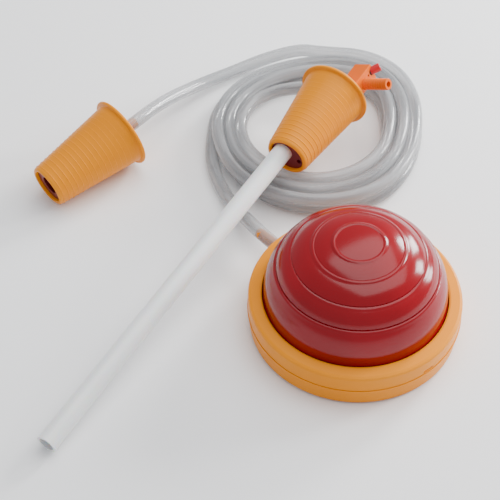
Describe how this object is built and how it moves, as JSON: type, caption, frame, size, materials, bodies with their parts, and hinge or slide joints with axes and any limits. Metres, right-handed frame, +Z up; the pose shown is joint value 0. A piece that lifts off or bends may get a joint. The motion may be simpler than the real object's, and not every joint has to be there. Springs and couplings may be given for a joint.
{
  "type": "foot air pump",
  "caption": "Foot air pump: a stepped bellows dome on a round base, with coiled hoses and two tapered tank stoppers, one with a dip tube, an air barb and a vent button.",
  "frame": {"origin": "on the floor under the centre of the pump's round base", "axes": "+Z up along the bellows' stroke; the hoses and stoppers lie on the +Y side of the pump, and the outlet spigot points towards -X +Y"},
  "size_m": [0.3659, 0.4661, 0.0961],
  "materials": {
    "yellow_plastic": "smooth moulded, semi-gloss",
    "orange_plastic": "smooth moulded, semi-gloss",
    "red_plastic": "smooth moulded",
    "red_vinyl": "glossy flexible vinyl",
    "dark_red_rubber": "satin",
    "black_rubber": "matt",
    "white_plastic": "natural, matt",
    "milky_plastic": "milky translucent polyethylene",
    "clear_hose": "clear flexible vinyl, stored opaque",
    "steel": "zinc plated"
  },
  "bodies": {
    "base": {"base_tray": "yellow_plastic", "base_ring": "yellow_plastic", "rubber_feet": "black_rubber", "tray_screws": "steel", "dome_skirt": "red_vinyl", "return_spring": "steel", "flap_rivet": "white_plastic", "outlet_spigot": "yellow_plastic", "outlet_seat": "white_plastic", "spigot_seal": "black_rubber", "source_stopper": "yellow_plastic", "source_bush": "dark_red_rubber", "dip_tube": "milky_plastic", "liquid_elbow": "yellow_plastic", "valve_block": "orange_plastic", "air_barb": "orange_plastic", "vent_spring": "steel", "filler_stopper": "yellow_plastic", "filler_bush": "dark_red_rubber", "filler_nipple": "yellow_plastic", "air_hose_lead": "clear_hose", "air_hose_coil": "clear_hose", "liquid_hose_tail": "clear_hose", "liquid_hose_coil": "clear_hose", "liquid_hose_feed": "clear_hose"},
    "dome_lower": {"dome_lower_tier": "red_vinyl"},
    "dome_upper": {"dome_upper_tier": "red_vinyl"},
    "dome_top": {"dome_crown": "red_vinyl", "spring_plate": "white_plastic"},
    "intake_valve": {"intake_flap": "black_rubber"},
    "outlet_valve": {"outlet_flap": "black_rubber"},
    "vent_button": {"vent_plunger": "red_plastic", "vent_seal": "black_rubber"}
  },
  "joints": [
    {"name": "dome_press", "type": "slide", "parent": "base", "child": "dome_lower", "axis": [0, 0, -1], "range_m": [0, 0.014], "stiffness_N_per_m": 9000, "springref_m": -0.005, "deforming": ["return_spring"]},
    {"name": "dome_middle_fold", "type": "slide", "parent": "dome_lower", "child": "dome_upper", "axis": [0, 0, -1], "range_m": [0, 0.014]},
    {"name": "dome_top_fold", "type": "slide", "parent": "dome_upper", "child": "dome_top", "axis": [0, 0, -1], "range_m": [0, 0.014]},
    {"name": "intake_flap_lift", "type": "slide", "parent": "base", "child": "intake_valve", "axis": [0, 0, 1], "range_m": [0, 0.002], "stiffness_N_per_m": 20},
    {"name": "outlet_flap_lift", "type": "slide", "parent": "base", "child": "outlet_valve", "axis": [-0.7022, 0.712, 0], "range_m": [0, 0.002], "stiffness_N_per_m": 20},
    {"name": "vent_push", "type": "slide", "parent": "base", "child": "vent_button", "axis": [-0.8936, -0.2374, -0.381], "range_m": [0, 0.003], "stiffness_N_per_m": 600, "springref_m": -0.002, "deforming": ["vent_spring"]}
  ],
  "couplings": [
    {"joint": "dome_middle_fold", "follows": "dome_press", "ratio": 1},
    {"joint": "dome_top_fold", "follows": "dome_press", "ratio": 1}
  ]
}
